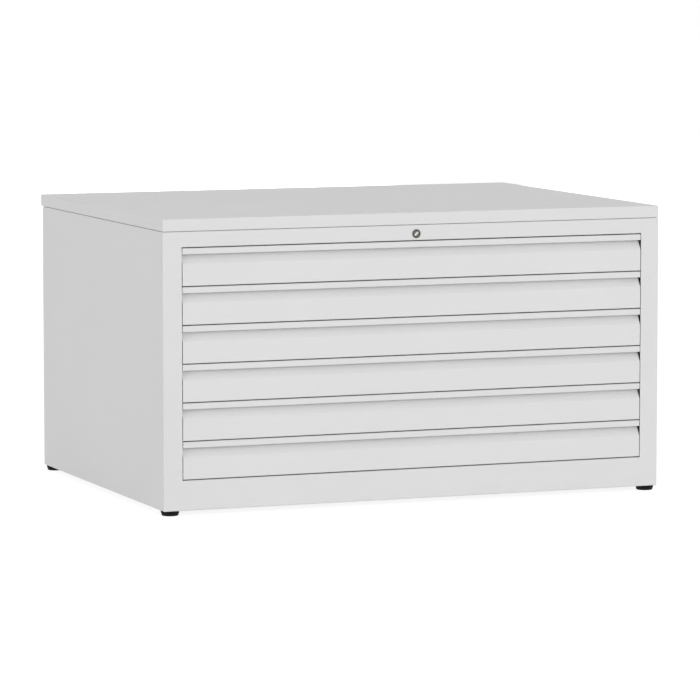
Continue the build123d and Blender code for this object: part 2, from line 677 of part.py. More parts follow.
# Lock bar with one hook to a drawer, drawn up by the crank
with BuildPart() as lock_bar:
    arm_rise = CATCH_LIP_BOTTOM_RISE - HOOK_CLEARANCE - BAR_TRAVEL
    tip_rise = CATCH_LIP_BOTTOM_RISE - HOOK_CLEARANCE
    bar_foot = drawer_bottom(DRAWER_COUNT) + arm_rise - HOOK_ARM_HEIGHT - BAR_FOOT_MARGIN
    slot_height = CRANK_PIN_DIAMETER + 2 * BAR_SLOT_PLAY
    bar_head = PIN_REST_Z + slot_height / 2 + BAR_TOP_MARGIN
    block((-BAR_WIDTH / 2, BAR_Y, bar_foot), (BAR_WIDTH / 2, BAR_Y + BAR_THICKNESS, bar_head))
    slot_far = -CRANK_RADIUS - slot_height / 2
    slot_near = pin_x + slot_height / 2
    block(
        (slot_far, BAR_Y, PIN_REST_Z - slot_height / 2),
        (slot_near, BAR_Y + BAR_THICKNESS, PIN_REST_Z + slot_height / 2),
        Mode.SUBTRACT,
    )
    for number in range(1, DRAWER_COUNT + 1):
        arm_top = drawer_bottom(number) + arm_rise
        tip_top = drawer_bottom(number) + tip_rise
        with BuildSketch(Plane.YZ):
            with BuildLine():
                Polyline(
                    (BAR_Y, arm_top - HOOK_ARM_HEIGHT),
                    (BAR_Y, arm_top),
                    (HOOK_TIP_BACK_Y, arm_top),
                    (HOOK_TIP_BACK_Y, tip_top),
                    (HOOK_TIP_BACK_Y - HOOK_TIP_WIDTH, tip_top),
                    (HOOK_TIP_BACK_Y - HOOK_TIP_WIDTH, arm_top - HOOK_ARM_HEIGHT),
                    close=True,
                )
            make_face()
        extrude(amount=HOOK_THICKNESS / 2, both=True)
save(lock_bar.part, "lock_bar")

# Guide blocks on the back panel that the lock bar slides through
with BuildPart() as bar_guides:
    for number in (1, DRAWER_COUNT - 1):
        low = drawer_bottom(number) - GUIDE_HEIGHT / 2
        front = BAR_Y - GUIDE_CLEARANCE - GUIDE_WALL
        block((-GUIDE_WIDTH / 2, front, low), (GUIDE_WIDTH / 2, BACK_PANEL_Y, low + GUIDE_HEIGHT))
        gap = BAR_WIDTH / 2 + GUIDE_CLEARANCE
        block(
            (-gap, BAR_Y - GUIDE_CLEARANCE, low),
            (gap, BAR_Y + BAR_THICKNESS + GUIDE_CLEARANCE, low + GUIDE_HEIGHT),
            Mode.SUBTRACT,
        )
save(bar_guides.part, "bar_guides")

# Bracket that hangs from the back panel's flange and carries the rod's rear end
with BuildPart() as rod_bracket:
    bracket_y = CRANK_Y - ROD_BRACKET_GAP - ROD_BRACKET_THICKNESS
    folded_strip(
        Plane.YZ,
        [(bracket_y, LOCK_Z - ROD_BRACKET_DROP), (bracket_y, CEILING_Z), (BACK_PANEL_Y, CEILING_Z)],
        ROD_BRACKET_FOLD,
        ROD_BRACKET_THICKNESS,
        ROD_BRACKET_WIDTH,
    )
    disc(
        facing_back(0, bracket_y, LOCK_Z),
        ROD_DIAMETER + 2 * RUNNING_CLEARANCE,
        ROD_BRACKET_THICKNESS,
        Mode.SUBTRACT,
    )
save(rod_bracket.part, "rod_bracket")
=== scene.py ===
"""Dresses the plan chest: camera, lamps, finishes, and pieces whose fine shape the frame lacks.

Metres, in the frame's axes: +X to the chest's right, the drawers face -Y and +Z is up.
"""

import json
import logging
import math
from dataclasses import dataclass, field
from enum import Enum

import bmesh
import bpy
import numpy as np
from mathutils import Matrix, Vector


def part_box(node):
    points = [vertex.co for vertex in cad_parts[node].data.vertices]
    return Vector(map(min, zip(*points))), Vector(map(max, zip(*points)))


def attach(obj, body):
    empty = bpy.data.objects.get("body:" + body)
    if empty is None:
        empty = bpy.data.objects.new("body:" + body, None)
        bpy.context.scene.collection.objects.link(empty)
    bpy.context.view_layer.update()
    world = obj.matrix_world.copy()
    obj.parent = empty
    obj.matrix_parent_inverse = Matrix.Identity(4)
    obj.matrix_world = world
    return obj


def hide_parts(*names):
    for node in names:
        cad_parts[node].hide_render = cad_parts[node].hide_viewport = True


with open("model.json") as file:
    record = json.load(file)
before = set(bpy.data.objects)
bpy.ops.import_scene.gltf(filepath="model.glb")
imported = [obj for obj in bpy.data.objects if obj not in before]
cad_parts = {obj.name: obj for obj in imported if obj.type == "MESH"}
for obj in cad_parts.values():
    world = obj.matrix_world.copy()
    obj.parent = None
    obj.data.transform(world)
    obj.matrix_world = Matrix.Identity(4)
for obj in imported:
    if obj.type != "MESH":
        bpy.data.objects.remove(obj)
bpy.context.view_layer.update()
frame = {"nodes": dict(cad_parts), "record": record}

LOG = logging.getLogger("plan_chest")
MM = 0.001
SMOOTH_ANGLE = math.radians(32.0)
NOISE_ROUGHNESS = 0.55
NOISE_LOW, NOISE_HIGH = 0.3, 0.7
WHITE = (1.0, 1.0, 1.0, 1.0)
NO_STREAK = (1.0, 1.0, 1.0)
DRAWERS = tuple(range(1, 7))

Triple = tuple[float, float, float]
Node = bpy.types.Node
Socket = bpy.types.NodeSocket


class Side(Enum):
    """The two sides of the chest, by the sign of their x."""

    LEFT = -1
    RIGHT = 1


class Slot(Enum):
    """The record's material slots."""

    CASING = "casing_paint"
    DRAWER = "drawer_paint"
    ZINC = "zinc_plated_steel"
    FASTENER = "fastener_steel"
    NICKEL = "lock_nickel"
    FOOT = "foot_plastic"
    GUIDE = "guide_plastic"


# Surfaces


@dataclass
class Shell:
    """A closed surface in the making: points and the faces that join them by number."""

    points: np.ndarray
    faces: list[np.ndarray]

    def repeated(self, places: np.ndarray) -> "Shell":
        """Copies the shell to many places.

        The points are place + point for every pair of the two.

        Args:
            places: One row of x, y, z for each copy.

        Returns:
            One shell that holds all the copies.
        """
        count = len(self.points)
        points = (places[:, None, :] + self.points[None, :, :]).reshape(-1, 3)
        steps = np.arange(len(places)) * count
        faces = [(f[None, :, :] + steps[:, None, None]).reshape(-1, f.shape[1]) for f in self.faces]
        return Shell(points, faces)

    def turned(self, matrix: np.ndarray) -> "Shell":
        """Returns the shell with every point multiplied by a 3 by 3 matrix."""
        return Shell(self.points @ matrix.T, self.faces)

    def moved(self, x: float, y: float, z: float) -> "Shell":
        """Returns the shell moved by x, y and z."""
        return Shell(self.points + np.array([x, y, z]), self.faces)


def joined(shells: list[Shell]) -> Shell:
    """Puts several shells into one.

    Args:
        shells: The shells, each closed by itself.

    Returns:
        One shell, whose faces keep to their own points.
    """
    starts = np.cumsum([0] + [len(shell.points) for shell in shells[:-1]])
    points = np.concatenate([shell.points for shell in shells])
    faces = [face + start for shell, start in zip(shells, starts) for face in shell.faces]
    return Shell(points, faces)


def loft(loops: np.ndarray, ring: bool = False) -> Shell:
    """Runs a surface through loops of points.

    The grid's rows are the loops and its columns go round them, so every face joins point
    (i, j) with (i, j + 1), (i + 1, j + 1) and (i + 1, j), and columns wrap.

    Args:
        loops: Array of loops by points by 3.
        ring: True where the last loop joins the first; otherwise a flat face closes each end.

    Returns:
        The closed shell.
    """
    rows, columns = loops.shape[:2]
    number = np.arange(rows * columns).reshape(rows, columns)
    near = number if ring else number[:-1]
    far = np.roll(number, -1, axis=0) if ring else number[1:]
    quads = np.stack([near, np.roll(near, -1, axis=1), np.roll(far, -1, axis=1), far], axis=-1)
    faces = [quads.reshape(-1, 4)]
    if not ring:
        faces += [number[:1, ::-1], number[-1:]]
    return Shell(loops.reshape(-1, 3), faces)


def rounded_line(corners: np.ndarray, radii: np.ndarray, steps: int = 6) -> np.ndarray:
    """Rounds the inner corners of an open line in a plane.

    At a corner that turns by a, the arc starts radius * tan(a / 2) before it. Its centre lies
    one radius to the side of the turn, and its points are the first spoke turned by 0 to a.

    Args:
        corners: Rows of two coordinates, ends included.
        radii: One radius for each corner between the ends.
        steps: Runs in each arc.

    Returns:
        Rows of two coordinates along the rounded line.
    """
    runs = np.diff(corners, axis=0)
    runs = runs / np.linalg.norm(runs, axis=1, keepdims=True)
    into, out = runs[:-1], runs[1:]
    turn = np.arctan2(into[:, 0] * out[:, 1] - into[:, 1] * out[:, 0], (into * out).sum(axis=1))
    start = corners[1:-1] - into * (radii * np.tan(np.abs(turn) / 2))[:, None]
    aside = np.stack([-into[:, 1], into[:, 0]], axis=1) * np.sign(turn)[:, None]
    centre = start + aside * radii[:, None]
    angle = turn[:, None] * np.linspace(0.0, 1.0, steps + 1)[None, :]
    spoke = start - centre
    x = spoke[:, None, 0] * np.cos(angle) - spoke[:, None, 1] * np.sin(angle)
    y = spoke[:, None, 0] * np.sin(angle) + spoke[:, None, 1] * np.cos(angle)
    arcs = centre[:, None, :] + np.stack([x, y], axis=-1)
    return np.concatenate([corners[:1], arcs.reshape(-1, 2), corners[-1:]])


def offset_line(line: np.ndarray, distance: float) -> np.ndarray:
    """Moves a line to its left by a distance.

    Each point goes along the middle of its two runs' normals by distance / cos(half the turn).

    Args:
        line: Rows of two coordinates.
        distance: How far to the left of its own direction.

    Returns:
        As many rows as the line has.
    """
    runs = np.diff(line, axis=0)
    runs = runs / np.linalg.norm(runs, axis=1, keepdims=True)
    normals = np.stack([-runs[:, 1], runs[:, 0]], axis=1)
    before = np.concatenate([normals[:1], normals])
    after = np.concatenate([normals, normals[-1:]])
    middle = before + after
    middle = middle / np.linalg.norm(middle, axis=1, keepdims=True)
    return line + distance * middle / (middle * before).sum(axis=1, keepdims=True)


def folded_sheet(line: np.ndarray, sheet: float, low: float, high: float) -> Shell:
    """Carries a folded sheet's section along its length.

    The section lies between the line and the same line moved to its left by the sheet's
    thickness, and its two coordinates become the first and third of the shell.

    Args:
        line: One face of the section, as rows of two coordinates.
        sheet: Thickness, negative to the line's right.
        low: Where the length starts, on the shell's second axis.
        high: Where the length ends.

    Returns:
        The closed shell.
    """
    inner = offset_line(line, sheet)
    loop = np.concatenate([line, inner[::-1]])
    count = len(line)
    ends = np.array([low, high])
    points = np.empty((2, len(loop), 3))
    points[:, :, 0] = loop[None, :, 0]
    points[:, :, 1] = ends[:, None]
    points[:, :, 2] = loop[None, :, 1]
    shell = loft(points)
    edge = np.arange(count - 1)
    strip = np.stack([edge, edge + 1, 2 * count - 2 - edge, 2 * count - 1 - edge], axis=1)
    shell.faces = [shell.faces[0], strip[:, ::-1], strip + 2 * count]
    return shell


def turned_shape(profile: np.ndarray, segments: int, ring: bool = False) -> Shell:
    """Turns a profile round the shell's third axis.

    A profile point (radius, height) becomes (radius cos t, radius sin t, height) for t all round.

    Args:
        profile: Rows of radius and height.
        segments: Points in each circle.
        ring: True where the profile is a closed loop that keeps off the axis.

    Returns:
        The closed shell.
    """
    around = np.arange(segments) * (2 * math.pi / segments)
    radius, height = profile[:, 0, None], profile[:, 1, None]
    rise = height + np.zeros_like(around)[None, :]
    loops = np.stack([radius * np.cos(around), radius * np.sin(around), rise], axis=-1)
    return loft(loops, ring)


def upright_frame(x_axis: Triple, y_axis: Triple, z_axis: Triple) -> np.ndarray:
    """Returns the matrix whose columns are where a shell's three axes go."""
    return np.array([x_axis, y_axis, z_axis], dtype=float).T


FACING_FRONT = upright_frame((1, 0, 0), (0, 0, 1), (0, -1, 0))
FACING_BACK = upright_frame((-1, 0, 0), (0, 0, 1), (0, 1, 0))


def facing_inward(side: Side) -> np.ndarray:
    """Returns the matrix that points a shell's third axis from one side to the middle."""
    return upright_frame((0, side.value, 0), (0, 0, 1), (-side.value, 0, 0))


# Finishes


@dataclass
class NodeBoard:
    """A material's nodes, with short ways to add and join them."""

    material: bpy.types.Material

    def add(self, kind: str, **values: object) -> Node:
        """Adds a node.

        Args:
            kind: The node's type name.
            values: Attributes of the node, or values of its inputs with spaces as underscores.

        Returns:
            The new node.
        """
        node = self.material.node_tree.nodes.new(kind)
        for name, value in values.items():
            if hasattr(node, name):
                setattr(node, name, value)
            else:
                node.inputs[name.replace("_", " ")].default_value = value
        return node

    def join(self, output: Socket, target: Socket) -> None:
        """Links an output to an input."""
        self.material.node_tree.links.new(output, target)

    def spread(self, source: Socket, low: float, high: float) -> Socket:
        """Maps the range in which noise mostly lies to low..high and returns the new socket."""
        node = self.add("ShaderNodeMapRange")
        node.inputs["From Min"].default_value = NOISE_LOW
        node.inputs["From Max"].default_value = NOISE_HIGH
        node.inputs["To Min"].default_value = low
        node.inputs["To Max"].default_value = high
        self.join(source, node.inputs["Value"])
        return node.outputs["Result"]

    def noise(self, place: Socket, feature: float, detail: float = 2.0) -> Socket:
        """Adds noise with features of about the given size in metres, and returns its height."""
        node = self.add("ShaderNodeTexNoise", Scale=1.0 / feature, Detail=detail)
        node.inputs["Roughness"].default_value = NOISE_ROUGHNESS
        self.join(place, node.inputs["Vector"])
        return node.outputs["Fac"]

    def emboss(self, shader: Node, height: Socket, strength: float, distance: float) -> None:
        """Raises a shader's surface by a height of 0 to 1, where 1 stands for the distance."""
        bump = self.add("ShaderNodeBump", Strength=strength, Distance=distance)
        self.join(height, bump.inputs["Height"])
        self.join(bump.outputs["Normal"], shader.inputs["Normal"])


def blank_material(name: str, colour: Triple) -> tuple[NodeBoard, Node]:
    """Starts a material.

    Args:
        name: The material's name.
        colour: Linear red, green and blue.

    Returns:
        The board of its nodes and its shader.
    """
    material = bpy.data.materials.new(name)
    material.use_nodes = True
    material.diffuse_color = (*colour, 1.0)
    board = NodeBoard(material)
    shader = material.node_tree.nodes["Principled BSDF"]
    shader.inputs["Base Color"].default_value = (*colour, 1.0)
    return board, shader


def tint(board: NodeBoard, shader: Node, colour: Triple, fac: Socket, spread: float) -> None:
    """Lets the base colour drift a little.

    Args:
        board: The material's nodes.
        shader: Its shader.
        colour: Linear red, green and blue of the middle tone.
        fac: What the drift follows, 0 to 1.
        spread: Largest share by which the tone leaves the middle.
    """
    ramp = board.add("ShaderNodeValToRGB")
    dark, pale = ramp.color_ramp.elements
    dark.position = NOISE_LOW
    pale.position = NOISE_HIGH
    dark.color = (*[c * (1 - spread) for c in colour], 1.0)
    pale.color = (*[min(c * (1 + spread), 1.0) for c in colour], 1.0)
    board.join(fac, ramp.inputs["Fac"])
    board.join(ramp.outputs["Color"], shader.inputs["Base Color"])


@dataclass(frozen=True)
class PowderCoat:
    """Baked powder paint: satin, faintly uneven in tone, with the fine dimples of orange peel."""

    name: str
    colour: Triple
    roughness: float = 0.46
    uneven: float = 0.05
    shine: float = 0.42
    peel: float = 1.6 * MM
    peel_depth: float = 0.012 * MM
    peel_strength: float = 0.6
    speck: float = 0.35 * MM
    cloud: float = 220.0 * MM
    cloud_drift: float = 0.008

    def material(self) -> bpy.types.Material:
        """Returns the paint as a material on Object coordinates."""
        board, shader = blank_material(self.name, self.colour)
        place = board.add("ShaderNodeTexCoord").outputs["Object"]
        clouds = board.noise(place, self.cloud, detail=3.0)
        tint(board, shader, self.colour, clouds, self.cloud_drift)
        peel = board.noise(place, self.peel, detail=1.0)
        speck = board.noise(place, self.speck, detail=1.0)
        smooth, rough = self.roughness - self.uneven, self.roughness + self.uneven
        board.join(board.spread(speck, smooth, rough), shader.inputs["Roughness"])
        board.emboss(shader, peel, self.peel_strength, self.peel_depth)
        shader.inputs["Specular IOR Level"].default_value = self.shine
        return board.material


@dataclass(frozen=True)
class PlatedSteel:
    """Plated strip steel: metal with streaks along one direction and a cloudy sheen."""

    name: str
    colour: Triple
    roughness: float = 0.34
    streak: Triple = (1.0, 0.04, 1.0)
    grain: float = 0.9 * MM
    smoother: float = 0.08
    rougher: float = 0.1
    cloud: float = 35.0 * MM
    cloud_drift: float = 0.07
    depth: float = 0.006 * MM
    strength: float = 0.5

    def material(self) -> bpy.types.Material:
        """Returns the plating as a material on Object coordinates."""
        board, shader = blank_material(self.name, self.colour)
        place = board.add("ShaderNodeTexCoord").outputs["Object"]
        mapping = board.add("ShaderNodeMapping")
        mapping.inputs["Scale"].default_value = self.streak
        board.join(place, mapping.inputs["Vector"])
        streaks = board.noise(mapping.outputs["Vector"], self.grain, detail=3.0)
        clouds = board.noise(place, self.cloud, detail=4.0)
        tint(board, shader, self.colour, clouds, self.cloud_drift)
        smooth, rough = self.roughness - self.smoother, self.roughness + self.rougher
        board.join(board.spread(streaks, smooth, rough), shader.inputs["Roughness"])
        board.emboss(shader, streaks, self.strength, self.depth)
        shader.inputs["Metallic"].default_value = 1.0
        return board.material


@dataclass(frozen=True)
class TurnedNickel:
    """Nickel over turned brass: fine rings round the lock's axis."""

    name: str
    colour: Triple
    axis: Triple
    roughness: float = 0.24
    smoother: float = 0.05
    rougher: float = 0.08
    cloud: float = 4.0 * MM
    cloud_drift: float = 0.05
    ring: float = 0.16 * MM
    depth: float = 0.008 * MM
    strength: float = 0.4

    def material(self) -> bpy.types.Material:
        """Returns the nickel as a material whose rings go round the lock's axis."""
        board, shader = blank_material(self.name, self.colour)
        place = board.add("ShaderNodeTexCoord").outputs["Object"]
        mapping = board.add("ShaderNodeMapping")
        mapping.inputs["Location"].default_value = tuple(-a for a in self.axis)
        board.join(place, mapping.inputs["Vector"])
        flat = board.add("ShaderNodeVectorMath", operation="MULTIPLY")
        flat.inputs[1].default_value = (1.0, 0.0, 1.0)
        board.join(mapping.outputs["Vector"], flat.inputs[0])
        length = board.add("ShaderNodeVectorMath", operation="LENGTH")
        board.join(flat.outputs["Vector"], length.inputs[0])
        rings = board.add("ShaderNodeTexNoise", noise_dimensions="1D")
        rings.inputs["Scale"].default_value = 1.0 / self.ring
        rings.inputs["Detail"].default_value = 1.0
        board.join(length.outputs["Value"], rings.inputs["W"])
        height = rings.outputs["Fac"]
        clouds = board.noise(place, self.cloud)
        tint(board, shader, self.colour, clouds, self.cloud_drift)
        smooth, rough = self.roughness - self.smoother, self.roughness + self.rougher
        board.join(board.spread(height, smooth, rough), shader.inputs["Roughness"])
        board.emboss(shader, height, self.strength, self.depth)
        shader.inputs["Metallic"].default_value = 1.0
        return board.material


@dataclass(frozen=True)
class MouldedPlastic:
    """Moulded plastic with the fine texture of an eroded mould."""

    name: str
    colour: Triple
    roughness: float = 0.55
    smoother: float = 0.08
    rougher: float = 0.1
    shine: float = 0.5
    cloud: float = 9.0 * MM
    cloud_drift: float = 0.04
    texture: float = 0.5 * MM
    depth: float = 0.02 * MM
    strength: float = 0.6

    def material(self) -> bpy.types.Material:
        """Returns the plastic as a material on Object coordinates."""
        board, shader = blank_material(self.name, self.colour)
        place = board.add("ShaderNodeTexCoord").outputs["Object"]
        grain = board.noise(place, self.texture)
        clouds = board.noise(place, self.cloud, detail=3.0)
        tint(board, shader, self.colour, clouds, self.cloud_drift)
        smooth, rough = self.roughness - self.smoother, self.roughness + self.rougher
        board.join(board.spread(grain, smooth, rough), shader.inputs["Roughness"])
        board.emboss(shader, grain, self.strength, self.depth)
        shader.inputs["Specular IOR Level"].default_value = self.shine
        return board.material


class Paintwork:
    """The chest's finishes: one for each slot of the record, and two that paint light into its
    lock: painted shade in the groove and a painted highlight in the keyway.
    """

    def __init__(self) -> None:
        """Makes the materials."""
        low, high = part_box("lock_barrel")
        axis = ((low.x + high.x) / 2, 0.0, (low.z + high.z) / 2)
        screws = PlatedSteel("screw_plating", (0.55, 0.55, 0.56), roughness=0.3, streak=NO_STREAK)
        # Painted shade: this nickel is much darker than real nickel, painted to stand for dark
        # reflections in the lock's face.
        lock = TurnedNickel("lock_nickel_painted_dark", (0.25, 0.24, 0.22), axis, roughness=0.36)
        glides = MouldedPlastic("black_glide_plastic", (0.006, 0.006, 0.0065), shine=0.16)
        nylon = MouldedPlastic("natural_nylon", (0.72, 0.7, 0.64), roughness=0.42)
        self.materials = {
            Slot.CASING: PowderCoat("casing_powder_coat", (0.755, 0.755, 0.755)).material(),
            Slot.DRAWER: PowderCoat("drawer_powder_coat", (0.765, 0.765, 0.765)).material(),
            Slot.ZINC: PlatedSteel("zinc_plating", (0.66, 0.67, 0.69)).material(),
            Slot.FASTENER: screws.material(),
            Slot.NICKEL: lock.material(),
            Slot.FOOT: glides.material(),
            Slot.GUIDE: nylon.material(),
        }
        # Painted highlight: a much lighter copy of the lock's nickel for the keyway's shutter and
        # lips.
        shutter = TurnedNickel("keyway_painted_highlight", (0.86, 0.85, 0.8), axis, roughness=0.3)
        # Painted shade: a near-black finish that darkens the lock's groove, where shade falls.
        groove_shade = PlatedSteel(
            "groove_painted_shade", (0.02, 0.018, 0.015), roughness=0.6, streak=NO_STREAK, grain=0.4 * MM
        )
        self.shutter, self.groove_shade = shutter.material(), groove_shade.material()

    def coat_frame(self) -> None:
        """Gives every node of the frame the finish of its slot in the record."""
        slots = {row["node"]: Slot(row["material_slot"]) for row in frame["record"]["subparts"]}
        for name, node in frame["nodes"].items():
            node.data.materials.clear()
            node.data.materials.append(self.materials[slots[name]])
        LOG.info("coated %d nodes of the frame", len(slots))


def make_piece(
    name: str,
    shell: Shell,
    body: str,
    slot: Slot,
    paintwork: Paintwork,
    nodes: tuple[str, ...] = (),
) -> bpy.types.Object:
    """Makes a piece of the chest from a shell.

    Args:
        name: The piece's name.
        shell: Its surface, in place.
        body: The body that it moves with.
        slot: The material slot that it takes its finish from.
        paintwork: The finishes.
        nodes: Nodes of the frame that it stands for.

    Returns:
        The new object.
    """
    mesh = bpy.data.meshes.new(name)
    faces = [face for group in shell.faces for face in group.tolist()]
    mesh.from_pydata(shell.points.tolist(), [], faces)
    work = bmesh.new()
    work.from_mesh(mesh)
    bmesh.ops.recalc_face_normals(work, faces=work.faces)
    work.to_mesh(mesh)
    work.free()
    mesh.shade_smooth()
    mesh.set_sharp_from_angle(angle=SMOOTH_ANGLE)
    mesh.materials.append(paintwork.materials[slot])
    piece = bpy.data.objects.new(name, mesh)
    bpy.context.scene.collection.objects.link(piece)
    even = piece.modifiers.new("even_shading", "WEIGHTED_NORMAL")
    even.keep_sharp = True
    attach(piece, body)
    if nodes:
        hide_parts(*nodes)
    LOG.info("%s: %d faces on %s", name, len(faces), body)
    return piece


def paint_faces(
    piece: bpy.types.Object, material: bpy.types.Material, chosen: np.ndarray
) -> None:
    """Gives some faces of a piece a second finish.

    Args:
        piece: The piece.
        material: The second finish.
        chosen: True for each face that takes it.
    """
    piece.data.materials.append(material)
    last = len(piece.data.materials) - 1
    piece.data.polygons.foreach_set("material_index", np.where(chosen, last, 0).astype(np.int32))


def face_centres(piece: bpy.types.Object) -> np.ndarray:
    """Returns the middles of a piece's faces, one row each."""
    polygons = piece.data.polygons
    centres = np.empty(len(polygons) * 3)
    polygons.foreach_get("center", centres)
    return centres.reshape(-1, 3)


# Lock


@dataclass
class Lock:
    """The lock's face: a rim with a groove, and a plug whose keyway has a dust shutter."""

    paintwork: Paintwork
    segments: int = 96
    fold_steps: int = 6
    rim_fold: float = 0.55 * MM
    rim_seat: float = 1.0 * MM
    rim_drop: float = 0.2 * MM
    bore_bevel: float = 0.15 * MM
    thread_radius: float = 8.0 * MM
    groove_inner: float = 6.4 * MM
    groove_outer: float = 7.4 * MM
    groove_depth: float = 0.9 * MM
    plug_radius: float = 6.0 * MM
    plug_play: float = 0.12 * MM
    plug_bevel: float = 0.45 * MM
    keyway_half_length: float = 4.25 * MM
    keyway_half_width: float = 1.15 * MM
    keyway_lip: float = 0.5 * MM
    lip_depth: float = 0.35 * MM
    shutter_depth: float = 0.75 * MM
    keyway_tilt: float = math.radians(45.0)
    keyway_squareness: float = 7.0
    # How deep a groove face must lie to take the painted shade.
    shade_depth: float = 0.3 * MM
    slack: float = 0.05 * MM

    def __post_init__(self) -> None:
        """Takes the lock's place from the frame."""
        self.low, self.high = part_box("lock_barrel")
        self.plug_low, self.plug_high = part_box("lock_plug")
        self.centre_x = (self.low.x + self.high.x) / 2
        self.centre_z = (self.low.z + self.high.z) / 2
        self.face_radius = (self.high.x - self.low.x) / 2

    def barrel(self) -> Shell:
        """Turns the barrel's closed profile, with depths measured back from the rim's face.

        Returns:
            The barrel in place.
        """
        deep = self.high.y - self.low.y
        bore = self.plug_radius + self.plug_play
        mouth = bore + self.bore_bevel
        inner, outer = self.groove_inner, self.groove_outer
        drop, fold = self.rim_drop, self.rim_fold
        arc = np.linspace(0.0, math.pi / 2, self.fold_steps + 1)
        rim_x = self.face_radius - fold + fold * np.sin(arc)
        rim_z = -fold + fold * np.cos(arc)
        profile = np.concatenate(
            [
                [(bore, -deep), (bore, -drop - self.bore_bevel), (mouth, -drop), (inner, -drop)],
                [(inner, -self.groove_depth), (outer, -self.groove_depth)],
                [(outer, -drop), (outer + drop, 0.0)],
                np.stack([rim_x, rim_z], axis=1),
                [(self.face_radius, -self.rim_seat), (self.thread_radius, -self.rim_seat)],
                [(self.thread_radius, -deep)],
            ]
        )
        shell = turned_shape(profile, self.segments, ring=True)
        return shell.turned(FACING_FRONT).moved(self.centre_x, self.low.y, self.centre_z)

    def plug(self) -> Shell:
        """Lofts the plug from the shutter in its keyway over its face to its rear end.

        The keyway's outline is a superellipse: half length * |cos t| ** (2 / n) and half width *
        |sin t| ** (2 / n), with the signs of cos t and sin t. The other loops are circles.

        Returns:
            The plug in place.
        """
        around = np.arange(self.segments) * (2 * math.pi / self.segments)
        power = 2.0 / self.keyway_squareness
        cos, sin = np.cos(around), np.sin(around)
        slot_x = self.keyway_half_length * np.sign(cos) * np.abs(cos) ** power
        slot_y = self.keyway_half_width * np.sign(sin) * np.abs(sin) ** power
        wide_x = slot_x * (1.0 + self.keyway_lip / self.keyway_half_length)
        wide_y = slot_y * (1.0 + self.keyway_lip / self.keyway_half_width)
        deep = self.plug_high.y - self.plug_low.y
        radius, bevel = self.plug_radius, self.plug_bevel
        loops = [
            (slot_x, slot_y, -self.shutter_depth),
            (slot_x, slot_y, -self.lip_depth),
            (wide_x, wide_y, 0.0),
            ((radius - bevel) * cos, (radius - bevel) * sin, 0.0),
            (radius * cos, radius * sin, -bevel),
            (radius * cos, radius * sin, -deep),
        ]
        grid = np.array([np.stack([x, y, np.full_like(around, z)], axis=1) for x, y, z in loops])
        cos, sin = math.cos(self.keyway_tilt), math.sin(self.keyway_tilt)
        turn = np.array([[cos, -sin, 0.0], [sin, cos, 0.0], [0.0, 0.0, 1.0]])
        shell = loft(grid).turned(FACING_FRONT @ turn)
        return shell.moved(self.centre_x, self.plug_low.y, self.centre_z)

    def in_groove(self, piece: bpy.types.Object) -> np.ndarray:
        """Tells which of the barrel's faces lie in its groove."""
        centres = face_centres(piece)
        reach = np.hypot(centres[:, 0] - self.centre_x, centres[:, 2] - self.centre_z)
        near = (reach > self.groove_inner - self.slack) & (reach < self.groove_outer + self.slack)
        return near & (centres[:, 1] > self.low.y + self.shade_depth)

    def in_keyway(self, piece: bpy.types.Object) -> np.ndarray:
        """Tells which of the plug's faces are the shutter or the keyway's lips."""
        centres = face_centres(piece)
        aside, up = centres[:, 0] - self.centre_x, centres[:, 2] - self.centre_z
        cos, sin = math.cos(self.keyway_tilt), math.sin(self.keyway_tilt)
        along, across = np.abs(aside * cos + up * sin), np.abs(up * cos - aside * sin)
        inside = along < self.keyway_half_length + self.keyway_lip
        inside &= across < self.keyway_half_width + self.keyway_lip
        return inside & (centres[:, 1] < self.plug_low.y + self.shutter_depth + self.slack)

    def build(self) -> None:
        """Makes the barrel with painted shade in its groove, and the plug with a painted highlight
        in its keyway.
        """
        paint = self.paintwork
        barrel = make_piece(
            "lock_barrel_face", self.barrel(), "casing", Slot.NICKEL, paint, ("lock_barrel",)
        )
        # Painted shade: the groove's faces take the near-black finish.
        paint_faces(barrel, paint.groove_shade, self.in_groove(barrel))
        plug = make_piece(
            "lock_plug_keyed", self.plug(), "lock_cylinder", Slot.NICKEL, paint, ("lock_plug",)
        )
        # Painted highlight: the shutter and the keyway's lips take the light nickel.
        paint_faces(plug, paint.shutter, self.in_keyway(plug))


# Feet


